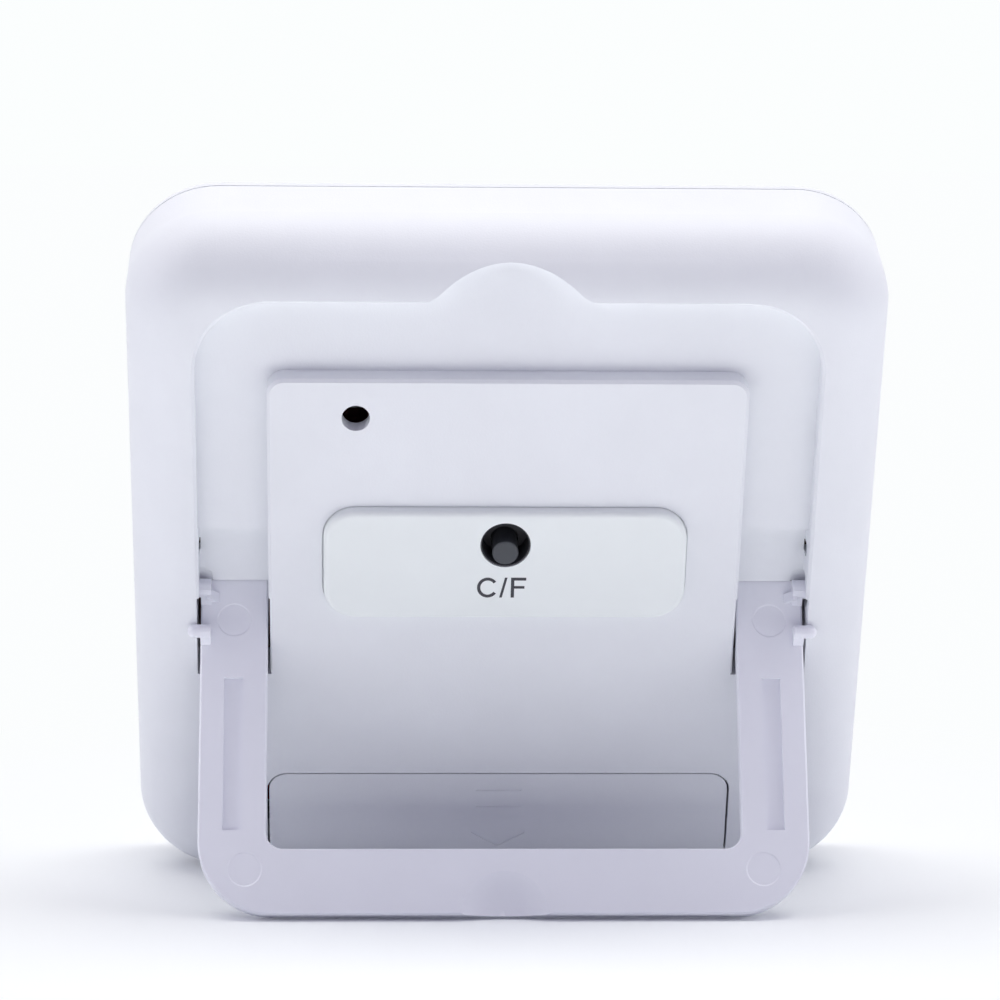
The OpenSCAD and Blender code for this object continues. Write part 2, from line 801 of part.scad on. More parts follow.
module front_shell() {
    skirt_w = inner_w - 2 * skirt_gap;
    skirt_h = inner_h - 2 * skirt_gap;
    skirt_r = inner_corner_r - skirt_gap;
    color("#f0f1f5")
        placed()
            difference() {
                union() {
                    translate([0, 0, case_d])
                        mirror([0, 0, 1])
                            rounded_block(case_w, case_h, case_corner_r, 0, bezel_t)
                                round_profile(case_corner_r, bezel_t, front_edge_r);
                    into(front_inner - skirt_len, front_inner + sink)
                        difference() {
                            rounded_rect(skirt_w, skirt_h, skirt_r);
                            rounded_rect(2 * skirt_half_w, 2 * skirt_half_h, skirt_r - skirt_t);
                            translate([0, -half_h])
                                square([2 * (bay_out_half + board_gap), half_h], center = true);
                        }
                    snap_beads(snap_r);
                    for (sx = [-1, 1], y = boss_ys)
                        translate([sx * boss_x, y, board_front_z])
                            cylinder(r = boss_r, h = front_inner + sink - board_front_z);
                }
                translate([0, glass_y, 0])
                    into(window_z - tape_t, case_d + over)
                        rounded_rect(
                            window_w + 2 * window_gap, window_h + 2 * window_gap, window_corner_r + window_gap
                        );
                translate([0, glass_y, 0])
                    into(front_inner - over, case_d + over)
                        square([glass_w - 2 * glass_border, glass_h - 2 * glass_border], center = true);
                for (sx = [-1, 1], y = boss_ys)
                    translate([sx * boss_x, y, board_front_z - over])
                        cylinder(r = screw_r + pilot_gap, h = screw_len - board_t + 2 * over);
            }
}

// Sets the stand, drawn along the hinge axis as x with its legs along y, at its open angle
module opened() {
    translate([0, pivot_y, pivot_z])
        rotate([stand_open - 180, 0, 0])
            children();
}

// Flat U of the stand: x across, y along the legs, z from the outer to the inner face
module stand_frame() {
    long = 2 * stand_len;
    bar_y = stand_len - stand_bar_w;
    corner_r = channel_corner_r - stand_gap;
    inner_long = 2 * bar_y + 4 * heel;
    flare_r = stand_inner_r + stand_chamfer;
    difference() {
        intersection() {
            translate([0, stand_len - long / 2, face_out])
                rounded_block(2 * leg_out, long, corner_r, 0, stand_t)
                    polygon([
                        [0, 0], [corner_r - stand_chamfer, 0], [corner_r, stand_chamfer],
                        [corner_r, stand_t - stand_chamfer], [corner_r - stand_chamfer, stand_t],
                        [0, stand_t]
                    ]);
            box([-half_w, -heel, face_out - over], [half_w, stand_len + over, face_in + over]);
        }
        translate([0, bar_y - inner_long / 2, face_out])
            rounded_block(2 * leg_in, inner_long, stand_inner_r, -over, stand_t + over)
                polygon([
                    [0, -over], [flare_r, -over], [flare_r, 0], [stand_inner_r, stand_chamfer],
                    [stand_inner_r, stand_t - stand_chamfer], [flare_r, stand_t], [flare_r, stand_t + over],
                    [0, stand_t + over]
                ]);
    }
}

// Hinge block with its pin, gusset and peg block on the inner face of the +X leg
module stand_blocks() {
    gusset_w = 0.95;
    gusset_y = 0.35;
    gusset_t = 1.1;
    root = face_in - sink;
    across(block_in, leg_out)
        polygon([
            [-block_top, root], [-block_top, 0], [0, block_top], [block_flat, block_top],
            [block_foot, face_in], [block_foot, root]
        ]);
    translate([block_in, 0, 0])
        rotate([0, 90, 0])
            cylinder(r = pin_r, h = block_w + pin_len);
    translate([0, gusset_y + gusset_t, 0])
        rotate([90, 0, 0])
            linear_extrude(gusset_t)
                polygon([
                    [block_in + sink, root], [block_in - gusset_w, root], [block_in - gusset_w, face_in],
                    [block_in, block_top / 2], [block_in + sink, block_top / 2]
                ]);
    translate([0, peg_dist, 0]) {
        across(block_in, leg_out)
            polygon([
                [-peg_side, root], [-peg_side, peg_rise], [0, peg_rise + peg_side],
                [peg_flat, peg_rise + peg_side], [peg_foot, face_in], [peg_foot, root]
            ]);
        translate([block_in, 0, peg_rise])
            rotate([0, 90, 0])
                cylinder(r = peg_r, h = block_w);
    }
}

module kickstand() {
    leg_x = (leg_in + leg_out) / 2;
    mark_deep = 0.08;
    mark_slope = 2;
    upper_mark = 1.7;
    lower_mark = 2.4;
    lower_shift = 1.5;
    groove_start = 3.9;
    scoop_ball = (pow(scoop_r, 2) + pow(scoop_deep, 2)) / (2 * scoop_deep);
    marks = [
        [leg_x, peg_dist - upper_mark],
        [leg_x - lower_shift, stand_len - stand_bar_w + lower_mark]
    ];
    color("#dcdcec")
        placed()
            opened() {
                difference() {
                    stand_frame();
                    for (side = [-1, 1]) {
                        translate([side * leg_x, peg_block_end + groove_start + groove_len / 2, 0])
                            into(face_in - groove_deep, face_in + over)
                                square([groove_w, groove_len], center = true);
                        for (mark = marks)
                            translate([side * mark.x, mark.y, face_in - mark_deep])
                                cylinder(
                                    r1 = mark_r - mark_slope * mark_deep, r2 = mark_r + mark_slope * over,
                                    h = mark_deep + over
                                );
                    }
                    translate([0, stand_len, face_in - scoop_deep + scoop_ball])
                        sphere(scoop_ball);
                }
                both_sides()
                    stand_blocks();
            }
}

// Stop peg on the outer side of the +X leg
module stop_peg() {
    translate([leg_out + peg_root_gap, peg_dist, peg_rise])
        peg_form(peg_r, peg_reach - peg_root_gap);
}

module stop_peg_left() {
    color("#dcdcec")
        placed()
            opened()
                stop_peg();
}

module stop_peg_right() {
    color("#dcdcec")
        placed()
            opened()
                mirror([1, 0, 0])
                    stop_peg();
}

module magnet_plate() {
    head_t = 0.5;
    depth = plate_proud + plate_seat;
    color("#eef2f0")
        placed()
            translate([0, plate_y, 0]) {
                difference() {
                    translate([0, 0, -plate_proud])
                        rounded_block(plate_w, plate_h, plate_corner_r, 0, depth)
                            round_profile(plate_corner_r, depth, plate_edge_r);
                    translate([0, button_rise, -plate_proud - over])
                        cylinder(r = button_hole_r, h = depth + 2 * over);
                    for (side = [-1, 1])
                        translate([side * magnet_x, 0, 0])
                            into(plate_seat - magnet_t, plate_seat + over)
                                square([magnet_w + 2 * magnet_gap, magnet_h + 2 * magnet_gap], center = true);
                }
                for (side = [-1, 1])
                    translate([side * stake_x, 0, plate_seat - sink]) {
                        cylinder(r = stake_r, h = wall - plate_seat + sink + head_t);
                        translate([0, 0, wall - plate_seat + sink])
                            cylinder(r = stake_head_r, h = head_t);
                    }
            }
}

module magnets() {
    color("#8d8f94")
        placed()
            for (side = [-1, 1])
                translate([side * magnet_x, plate_y, 0])
                    into(plate_seat - magnet_t, plate_seat)
                        square([magnet_w, magnet_h], center = true);
}

// Arrow grooves that show which way the door slides
module door_arrow() {
    line_t = 0.5;
    line_w = 5.4;
    arrow_half = 3.2;
    arrow_h = 2.1;
    line_drop = 2.4;
    line_pitch = 2.3;
    arrow_drop = 8.1;
    arrow_y = door_y - arrow_drop;
    for (i = [0, 1])
        translate([0, door_y - line_drop - i * line_pitch])
            square([line_w, line_t], center = true);
    polygon([
        [-arrow_half, arrow_y], [0, arrow_y - arrow_h], [arrow_half, arrow_y],
        [arrow_half, arrow_y - line_t], [0, arrow_y - arrow_h - line_t], [-arrow_half, arrow_y - line_t]
    ]);
}

module battery_door() {
    arrow_deep = 0.1;
    color("#e2e3ec")
        placed() {
            difference() {
                intersection() {
                    across(-door_half + door_gap, door_half - door_gap)
                        door_section(door_sink, door_in_z, door_y - door_gap, door_low_z - door_gap);
                    into(-over, case_d)
                        door_plan(door_half - door_gap, door_y - door_gap, door_corner_r - door_gap);
                }
                intersection() {
                    across(-door_half, door_half)
                        door_section(-over, door_sink + arrow_deep, door_y, door_low_z);
                    into(-2 * over, case_d)
                        door_arrow();
                }
            }
            both_sides()
                translate([0, tab_y + tab_w / 2, 0])
                    rotate([90, 0, 0])
                        linear_extrude(tab_w)
                            polygon([
                                [tab_in, door_in_z - sink], [door_half - door_gap, door_in_z - sink],
                                [door_half - door_gap, tab_z], [door_half + tab_reach, tab_z],
                                [door_half + tab_reach, tab_z + tab_t], [tab_in, tab_z + tab_t]
                            ]);
        }
}

module display_window() {
    color("#c9d6dc", 0.4)
        placed()
            translate([0, glass_y, 0])
                into(window_z, case_d - window_sink)
                    rounded_rect(window_w, window_h, window_corner_r);
}

module window_tape() {
    color("#26282b")
        placed()
            translate([0, glass_y, 0])
                into(window_z - tape_t, window_z)
                    difference() {
                        rounded_rect(window_w, window_h, window_corner_r);
                        square([window_w - 2 * tape_w, window_h - 2 * tape_w], center = true);
                    }
}

module display_glass() {
    color("#a9b3a4")
        placed() {
            translate([0, glass_y, 0])
                into(glass_mid_z, front_inner)
                    square([glass_w, glass_h], center = true);
            box(
                [-glass_w / 2, glass_low_y + glass_ledge, glass_back_z],
                [glass_w / 2, glass_top_y, glass_mid_z]
            );
        }
}

module display_reflector() {
    inset = holder_ledge + holder_gap;
    color("#c4c8c6")
        placed()
            box(
                [-glass_w / 2 + inset, glass_low_y + glass_ledge + holder_gap, glass_back_z - reflector_t],
                [glass_w / 2 - inset, glass_top_y - inset, glass_back_z]
            );
}

module display_holder() {
    outer_w = glass_w + 2 * (holder_gap + holder_wall);
    outer_h = glass_h + 2 * (holder_gap + holder_wall);
    color("#f2f2f2")
        placed()
            difference() {
                translate([0, glass_y, 0])
                    into(board_front_z, front_inner)
                        square([outer_w, outer_h], center = true);
                translate([0, glass_y, 0])
                    into(glass_back_z, front_inner + over)
                        square([glass_w + 2 * holder_gap, glass_h + 2 * holder_gap], center = true);
                box(
                    [-glass_w / 2 + holder_ledge, glass_low_y, board_front_z - over],
                    [glass_w / 2 - holder_ledge, glass_top_y - holder_ledge, glass_back_z + over]
                );
            }
}

module contact_strip() {
    strip_y = glass_low_y + (glass_ledge - strip_w) / 2;
    color("#d8a7b0")
        placed()
            box(
                [-glass_w / 2 + holder_ledge + holder_gap, strip_y, board_front_z],
                [glass_w / 2 - holder_ledge - holder_gap, strip_y + strip_w, glass_mid_z]
            );
}

module main_board() {
    color("#2f6b46")
        placed()
            difference() {
                box([-board_half, board_low_y, board_back_z], [board_half, board_top_y, board_front_z]);
                for (sx = [-1, 1], y = boss_ys)
                    translate([sx * boss_x, y, board_back_z - over])
                        cylinder(r = screw_r + hole_gap, h = board_t + 2 * over);
            }
}

module board_screws() {
    recess_w = 0.5;
    recess_deep = 0.5;
    color("#a4a6aa")
        placed()
            for (sx = [-1, 1], y = boss_ys)
                translate([sx * boss_x, y, board_back_z])
                    difference() {
                        union() {
                            translate([0, 0, -screw_head_h])
                                cylinder(r = screw_head_r, h = screw_head_h);
                            cylinder(r = screw_r, h = screw_len);
                        }
                        for (turn = [0, 90])
                            rotate([0, 0, turn])
                                translate([-screw_head_r / 2, -recess_w / 2, -screw_head_h - over])
                                    cube([screw_head_r, recess_w, recess_deep + over]);
                    }
}

module controller_blob() {
    cap_r = (pow(blob_r, 2) + pow(blob_h, 2)) / (2 * blob_h);
    blob_x = -14;
    color("#1c1c1e")
        placed()
            translate([blob_x, plate_y, board_back_z])
                mirror([0, 0, 1])
                    rotate_extrude()
                        intersection() {
                            translate([0, blob_h - cap_r])
                                circle(cap_r);
                            square([blob_r, blob_h]);
                        }
}

module quartz_crystal() {
    crystal_x = -18;
    crystal_drop = 10;
    color("#b9bcc0")
        placed()
            translate([crystal_x, plate_y - crystal_drop, board_back_z - crystal_r - crystal_gap])
                rotate([0, 90, 0])
                    cylinder(r = crystal_r, h = crystal_len);
}

module chip_parts() {
    part_w = 2;
    part_h = 1.25;
    part_t = 0.9;
    pitch = 3.6;
    first_x = 7;
    color("#8a7a5c")
        placed()
            for (column = [0 : 2], row = [0 : 1])
                translate([first_x + column * pitch, plate_y - (row + 1) * pitch, board_back_z - part_t])
                    cube([part_w, part_h, part_t]);
}

module humidity_sensor() {
    port_r = 0.6;
    port_deep = 0.4;
    color("#d5d7d9")
        placed()
            translate([vent_x, vent_y, board_back_z - sensor_h])
                difference() {
                    into(0, sensor_h)
                        square(sensor_w, center = true);
                    translate([0, 0, -over])
                        cylinder(r = port_r, h = port_deep + over);
                }
}

// Switch, stacked from the circuit board towards the plate
switch_top_z = board_back_z - switch_body_h;
cover_t = 0.3;
flange_t = 0.7;
flange_w = 0.5;
flange_r = plunger_r + flange_w;
flange_gap = 0.05;
well_gap = 0.2;
well_r = flange_r + well_gap;
plunger_end_z = switch_top_z + flange_gap + flange_t;
dome_h = 0.35;
dome_t = 0.12;
dome_z = plunger_end_z + switch_travel + flange_gap;

module switch_body() {
    color("#2a2a2c")
        placed()
            translate([0, switch_y, 0])
                difference() {
                    into(switch_top_z, board_back_z)
                        square(switch_w, center = true);
                    into(switch_top_z - over, dome_z + dome_h)
                        circle(well_r);
                }
}

module switch_cover() {
    color("#b4b6ba")
        placed()
            translate([0, switch_y, 0])
                difference() {
                    into(switch_top_z - cover_t, switch_top_z)
                        square(switch_w, center = true);
                    into(switch_top_z - cover_t - over, switch_top_z + over)
                        circle(plunger_r + plunger_clear);
                }
}

module switch_dome() {
    cap_r = (pow(flange_r, 2) + pow(dome_h, 2)) / (2 * dome_h);
    color("#c3c5c9")
        placed()
            translate([0, switch_y, dome_z + dome_h])
                mirror([0, 0, 1])
                    rotate_extrude()
                        difference() {
                            intersection() {
                                translate([0, dome_h - cap_r])
                                    circle(cap_r);
                                square([flange_r, dome_h]);
                            }
                            translate([0, dome_h - cap_r])
                                circle(cap_r - dome_t);
                        }
}

module switch_plunger() {
    tip_chamfer = 0.15;
    color("#303036")
        placed()
            translate([0, switch_y, 0]) {
                rotate_extrude()
                    polygon([
                        [0, tip_z], [plunger_r - tip_chamfer, tip_z], [plunger_r, tip_z + tip_chamfer],
                        [plunger_r, switch_top_z + flange_gap], [flange_r, switch_top_z + flange_gap],
                        [flange_r, plunger_end_z], [0, plunger_end_z]
                    ]);
            }
}

// Dark sleeve that lines the button hole, with a flange behind the back wall
module switch_sleeve() {
    sleeve_r = button_hole_r - sleeve_gap;
    collar_w = 0.7;
    collar_t = 0.6;
    collar_z = wall + sleeve_gap;
    color("#242429")
        placed()
            difference() {
                translate([0, button_y, 0]) {
                    into(sleeve_sink - plate_proud, collar_z + sink)
                        circle(sleeve_r);
                    into(collar_z, collar_z + collar_t)
                        circle(button_hole_r + collar_w);
                }
                translate([0, button_y, 0])
                    into(-plate_proud - over, collar_z)
                        circle(sleeve_r - sleeve_t);
                translate([0, switch_y, 0])
                    into(collar_z - over, collar_z + collar_t + over)
                        circle(plunger_r + plunger_clear);
            }
}

module battery_cell() {
    color("#3f7d58")
        placed()
            translate([cell_end_x, cell_y, cell_z])
                rotate([0, 90, 0]) {
                    cylinder(r = cell_r, h = cell_len - nub_len);
                    cylinder(r = nub_r, h = cell_len);
                }
}

// Points of one ring of the spring wire
function spring_ring(t, r0, r1, x0, x1) =
    [for (k = [0 : spring_sides - 1])
        let (
            turn = 360 * spring_turns * t,
            a = 360 * k / spring_sides,
            r = r0 + (r1 - r0) * t + spring_wire_r * cos(a)
        )
        [x0 + (x1 - x0) * t + spring_wire_r * sin(a), r * cos(turn), r * sin(turn)]];

spring_sides = 6;
spring_rings = 8 * spring_turns;

// Conical coil of wire from x0 to x1, as one unbroken tube
module coil(r0, r1, x0, x1) {
    points = [for (i = [0 : spring_rings]) each spring_ring(i / spring_rings, r0, r1, x0, x1)];
    sides = [for (i = [0 : spring_rings - 1], k = [0 : spring_sides - 1])
        let (
            a = i * spring_sides + k,
            b = i * spring_sides + (k + 1) % spring_sides
        )
        each [[a, b, b + spring_sides], [a, b + spring_sides, a + spring_sides]]];
    last = spring_rings * spring_sides;
    first_cap = [for (k = [1 : spring_sides - 2]) [0, k + 1, k]];
    last_cap = [for (k = [1 : spring_sides - 2]) [last, last + k, last + k + 1]];
    polyhedron(points, concat(sides, first_cap, last_cap));
}

// Contact plate against one end wall of the bay, with its tail through the wall
module contact_sheet() {
    box(
        [bay_half - contact_t, cell_y - contact_w / 2, cell_z - contact_w / 2],
        [bay_half, cell_y + contact_w / 2, cell_z + contact_w / 2]
    );
    box(
        [bay_half - contact_t, cell_y - tail_w / 2, tail_z - contact_t / 2],
        [bay_out_half + tail_out, cell_y + tail_w / 2, tail_z + contact_t / 2]
    );
}

module spring_contact() {
    coil_r0 = contact_w / 2 - 2 * spring_wire_r;
    coil_r1 = coil_r0 / 2;
    coil_x0 = -bay_half + contact_t + spring_wire_r / 2;
    coil_x1 = cell_end_x - 2 * spring_wire_r;
    color("#c8c4b6")
        placed() {
            mirror([1, 0, 0])
                contact_sheet();
            translate([0, cell_y, cell_z])
                coil(coil_r0, coil_r1, coil_x0, coil_x1);
        }
}

module plate_contact() {
    color("#c8c4b6")
        placed()
            contact_sheet();
}

// Battery lead from a contact tail, up past the bay and down to the circuit board
module lead() {
    lead_rise = 4;
    lead_y = board_low_y + lead_rise;
    translate([lead_x, cell_y + tail_w / 2, tail_z])
        rotate([-90, 0, 0])
            cylinder(r = lead_r, h = lead_y - lead_bend - cell_y - tail_w / 2);
    translate([lead_x, lead_y - lead_bend, tail_z + lead_bend])
        rotate([0, -90, 0])
            rotate([0, 0, 90])
                rotate_extrude(angle = 90)
                    translate([lead_bend, 0])
                        circle(lead_r);
    translate([lead_x, lead_y, tail_z + lead_bend])
        cylinder(r = lead_r, h = board_back_z - tail_z - lead_bend);
}

module positive_lead() {
    color("#b3302c")
        placed()
            lead();
}

module negative_lead() {
    color("#202022")
        placed()
            mirror([1, 0, 0])
                lead();
}

back_shell();
front_shell();
kickstand();
stop_peg_left();
stop_peg_right();
magnet_plate();
magnets();
battery_door();
display_window();
window_tape();
display_glass();
display_reflector();
display_holder();
contact_strip();
main_board();
board_screws();
controller_blob();
quartz_crystal();
chip_parts();
humidity_sensor();
switch_body();
switch_cover();
switch_dome();
switch_plunger();
switch_sleeve();
battery_cell();
spring_contact();
plate_contact();
positive_lead();
negative_lead();
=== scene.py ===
import json
import math

import bmesh
import bpy
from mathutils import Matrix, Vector


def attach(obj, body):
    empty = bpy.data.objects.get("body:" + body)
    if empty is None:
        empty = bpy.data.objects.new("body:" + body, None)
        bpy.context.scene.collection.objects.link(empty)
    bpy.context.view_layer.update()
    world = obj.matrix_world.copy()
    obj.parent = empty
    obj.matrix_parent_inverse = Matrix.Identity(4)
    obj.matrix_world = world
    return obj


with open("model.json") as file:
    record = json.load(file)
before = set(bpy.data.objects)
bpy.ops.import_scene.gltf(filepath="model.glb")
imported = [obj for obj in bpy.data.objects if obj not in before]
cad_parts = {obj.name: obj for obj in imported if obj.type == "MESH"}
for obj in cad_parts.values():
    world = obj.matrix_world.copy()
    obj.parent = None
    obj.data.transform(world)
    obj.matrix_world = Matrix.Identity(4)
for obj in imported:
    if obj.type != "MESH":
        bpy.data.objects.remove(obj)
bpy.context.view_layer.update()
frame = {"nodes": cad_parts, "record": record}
nodes = frame["nodes"]
record = frame["record"]
scene = bpy.context.scene
scene.view_settings.view_transform = "Standard"

MM = 0.001

# Plan of the back, as the CAD draws it: x across, y up the back, z into the case, in millimetres
PLATE_FACE = (12.0, 3.0, -1.5)  # place of the mount of that name
mounts = {m["name"]: m for m in record["mounts"]}
PLAN_X = Vector((1, 0, 0))
PLAN_Y = -Vector(mounts["underside"]["axis"]).normalized()
PLAN_Z = -Vector(mounts["plate_face"]["axis"]).normalized()
PLAN_ORIGIN = Vector(mounts["plate_face"]["pos_m"]) - MM * (
    PLATE_FACE[0] * PLAN_X + PLATE_FACE[1] * PLAN_Y + PLATE_FACE[2] * PLAN_Z
)


def plan(x, y, z):
    """World place of a point of the plan."""
    return PLAN_ORIGIN + MM * (x * PLAN_X + y * PLAN_Y + z * PLAN_Z)


def plan_depth(point):
    """Plan's z of a world point."""
    return (point - PLAN_ORIGIN).dot(PLAN_Z) / MM


# Colours of what the photograph shows, in linear light
SHELL = (0.84, 0.86, 0.89)
BEZEL = (0.81, 0.83, 0.86)
STAND = (0.85, 0.86, 0.925)
PLATE = (0.865, 0.905, 0.895)
FLOOR = (0.92, 0.945, 0.95)
FLOOR_GLOW = (0.97, 0.985, 0.99)
SKY = (0.97, 0.99, 0.99)
ROOM = (0.06, 0.04, 0.14)

# Node helpers

# Range that holds most values of a noise texture
NOISE_RANGE = (0.3, 0.7)


def math_node(tree, kind, a, b):
    """Result of a Math node on two sockets, or on a socket and a number."""
    n = tree.nodes.new("ShaderNodeMath")
    n.operation = kind
    tree.links.new(a, n.inputs[0])
    if isinstance(b, float):
        n.inputs[1].default_value = b
    else:
        tree.links.new(b, n.inputs[1])
    return n.outputs[0]


class Tree:
    """Material with a Principled shader and short ways to add nodes to it."""

    def __init__(self, name, color, roughness, **sockets):
        self.mat = bpy.data.materials.new(name)
        self.mat.use_nodes = True
        self.nodes = self.mat.node_tree.nodes
        self.links = self.mat.node_tree.links
        self.shader = self.nodes["Principled BSDF"]
        self.shader.inputs["Base Color"].default_value = (*color, 1)
        self.shader.inputs["Roughness"].default_value = roughness
        for socket, value in sockets.items():
            self.shader.inputs[socket.replace("_", " ")].default_value = value
        self.coord = self.nodes.new("ShaderNodeTexCoord").outputs["Object"]

    def noise(self, scale, detail=2, roughness=0.5, coord=None):
        n = self.nodes.new("ShaderNodeTexNoise")
        n.inputs["Scale"].default_value = scale
        n.inputs["Detail"].default_value = detail
        n.inputs["Roughness"].default_value = roughness
        self.links.new(coord or self.coord, n.inputs["Vector"])
        return n.outputs["Fac"]

    def spread(self, value, low, high):
        """Number that runs from low to high over a noise's range."""
        n = self.nodes.new("ShaderNodeMapRange")
        n.inputs["From Min"].default_value, n.inputs["From Max"].default_value = NOISE_RANGE
        n.inputs["To Min"].default_value = low
        n.inputs["To Max"].default_value = high
        self.links.new(value, n.inputs["Value"])
        return n.outputs["Result"]

    def ramp(self, value, low, high):
        """Colour that runs from low to high over a noise's range."""
        n = self.nodes.new("ShaderNodeValToRGB")
        for element, place, color in zip(n.color_ramp.elements, NOISE_RANGE, (low, high)):
            element.position = place
            element.color = (*color, 1)
        self.links.new(value, n.inputs["Fac"])
        return n.outputs["Color"]

    def base(self, value):
        self.links.new(value, self.shader.inputs["Base Color"])

    def rough(self, value):
        self.links.new(value, self.shader.inputs["Roughness"])

    def bump(self, height, strength, distance):
        n = self.nodes.new("ShaderNodeBump")
        n.inputs["Strength"].default_value = strength
        n.inputs["Distance"].default_value = distance
        self.links.new(height, n.inputs["Height"])
        self.links.new(n.outputs["Normal"], self.shader.inputs["Normal"])


# Materials


def shade(color, factor):
    return tuple(min(1, c * factor) for c in color)


def plastic(name, color, roughness, grain, depth, mottle=0.02, **sockets):
    """Moulded plastic: an eroded grain of a size and depth, and a faint mottle of colour and gloss."""
    gloss_spread = 0.05
    t = Tree(name, color, roughness, **sockets)
    fine = t.noise(1 / grain, detail=3, roughness=0.6)
    broad = t.noise(60, detail=4, roughness=0.6)
    t.base(t.ramp(broad, shade(color, 1 - mottle), shade(color, 1 + mottle)))
    t.rough(t.spread(broad, roughness - gloss_spread, roughness + gloss_spread))
    t.bump(fine, strength=0.35, distance=depth)
    return t.mat


def metal(name, color, roughness, scale):
    """Plated metal with fine drawn lines along x."""
    line_stretch = (1, 12, 12)
    t = Tree(name, color, roughness, Metallic=1.0)
    stretch = t.nodes.new("ShaderNodeMapping")
    stretch.inputs["Scale"].default_value = line_stretch
    t.links.new(t.coord, stretch.inputs["Vector"])
    lines = t.noise(scale, detail=3, roughness=0.6, coord=stretch.outputs["Vector"])
    t.base(t.ramp(lines, shade(color, 0.9), shade(color, 1.06)))
    t.rough(t.spread(lines, roughness - 0.06, roughness + 0.08))
    t.bump(lines, strength=0.2, distance=0.01 * MM)
    return t.mat


def board_brown():
    """Reddish brown paper board with a faint pattern of tracks under its lacquer."""
    t = Tree("board_brown", (0.1, 0.035, 0.03), 0.4)
    tracks = t.nodes.new("ShaderNodeTexBrick")
    tracks.inputs["Scale"].default_value = 260
    tracks.inputs["Mortar Size"].default_value = 0.06
    tracks.inputs["Color1"].default_value = (0.095, 0.033, 0.028, 1)
    tracks.inputs["Color2"].default_value = (0.115, 0.04, 0.033, 1)
    tracks.inputs["Mortar"].default_value = (0.16, 0.065, 0.05, 1)
    t.links.new(t.coord, tracks.inputs["Vector"])
    t.base(tracks.outputs["Color"])
    t.rough(t.spread(t.noise(700), 0.32, 0.48))
    t.bump(tracks.outputs["Fac"], strength=0.3, distance=0.02 * MM)
    return t.mat


def cell_sleeve():
    """Plain printed film on the cell: a dark body and a bright band at the nub end."""
    body, band = (0.05, 0.2, 0.1), (0.6, 0.42, 0.12)
    band_start = 11 * MM
    t = Tree("cell_sleeve", body, 0.3, Coat_Weight=0.4)
    split = t.nodes.new("ShaderNodeSeparateXYZ")
    t.links.new(t.coord, split.inputs["Vector"])
    t.base(t.ramp(math_node(t, "GREATER_THAN", split.outputs["X"], band_start), body, band))
    t.rough(t.spread(t.noise(900, detail=3), 0.22, 0.38))
    return t.mat


def window_clear():
    """Clear acrylic with faint handling marks."""
    t = Tree("window_clear", (0.96, 0.98, 0.98), 0.05, IOR=1.49, Transmission_Weight=1.0)
    t.rough(t.spread(t.noise(180, detail=5, roughness=0.7), 0.02, 0.09))
    return t.mat


def lcd_glass():
    """Grey-green passive display with a fine sheen."""
    t = Tree("lcd_glass", (0.33, 0.38, 0.31), 0.18)
    t.base(t.ramp(t.noise(40, detail=3), (0.32, 0.37, 0.3), (0.36, 0.41, 0.335)))
    t.rough(t.spread(t.noise(2500), 0.14, 0.24))
    return t.mat


def ink(name, color):
    """Printed ink with a slightly uneven lay."""
    t = Tree(name, color, 0.5)
    t.base(t.ramp(t.noise(5000, detail=3), shade(color, 0.8), shade(color, 1.2)))
    t.rough(t.spread(t.noise(3000), 0.4, 0.6))
    return t.mat


shell_white = plastic("shell_white", SHELL, 0.55, grain=0.22 * MM, depth=0.05 * MM)
bezel_white = plastic("bezel_white", BEZEL, 0.45, grain=0.3 * MM, depth=0.03 * MM)
stand_white = plastic(
    "stand_white", STAND, 0.38, grain=0.8 * MM, depth=0.01 * MM, Coat_Weight=0.15, Coat_Roughness=0.3
)
plate_white = plastic("plate_white", PLATE, 0.4, grain=0.6 * MM, depth=0.01 * MM)
holder_white = plastic("holder_white", (0.84, 0.84, 0.84), 0.5, grain=0.5 * MM, depth=0.02 * MM)
switch_black = plastic("switch_black", (0.045, 0.046, 0.055), 0.5, grain=0.2 * MM, depth=0.02 * MM)
plunger_grey = plastic("plunger_grey", (0.055, 0.06, 0.07), 0.55, grain=0.15 * MM, depth=0.02 * MM)
sensor_grey = plastic("sensor_grey", (0.62, 0.63, 0.65), 0.5, grain=0.3 * MM, depth=0.02 * MM)
chip_brown = plastic("chip_brown", (0.22, 0.16, 0.1), 0.5, grain=0.3 * MM, depth=0.02 * MM, mottle=0.08)
epoxy_black = plastic("epoxy_black", (0.015, 0.015, 0.017), 0.22, grain=1.5 * MM, depth=0.04 * MM)
tape_black = plastic("tape_black", (0.02, 0.02, 0.022), 0.7, grain=0.4 * MM, depth=0.03 * MM, mottle=0.1)
strip_pink = plastic("strip_pink", (0.6, 0.33, 0.38), 0.65, grain=0.6 * MM, depth=0.03 * MM, mottle=0.06)
lead_red = plastic("lead_red", (0.42, 0.02, 0.015), 0.4, grain=0.7 * MM, depth=0.02 * MM, mottle=0.05)
lead_black = plastic("lead_black", (0.02, 0.02, 0.022), 0.4, grain=0.7 * MM, depth=0.02 * MM, mottle=0.05)
magnet_grey = metal("magnet_grey", (0.55, 0.55, 0.57), 0.35, scale=900)
screw_steel = metal("screw_steel", (0.6, 0.61, 0.63), 0.3, scale=1500)
crystal_can = metal("crystal_can", (0.66, 0.67, 0.69), 0.25, scale=1500)
contact_metal = metal("contact_metal", (0.68, 0.66, 0.6), 0.28, scale=1500)
reflector = metal("reflector", (0.62, 0.65, 0.62), 0.4, scale=1200)

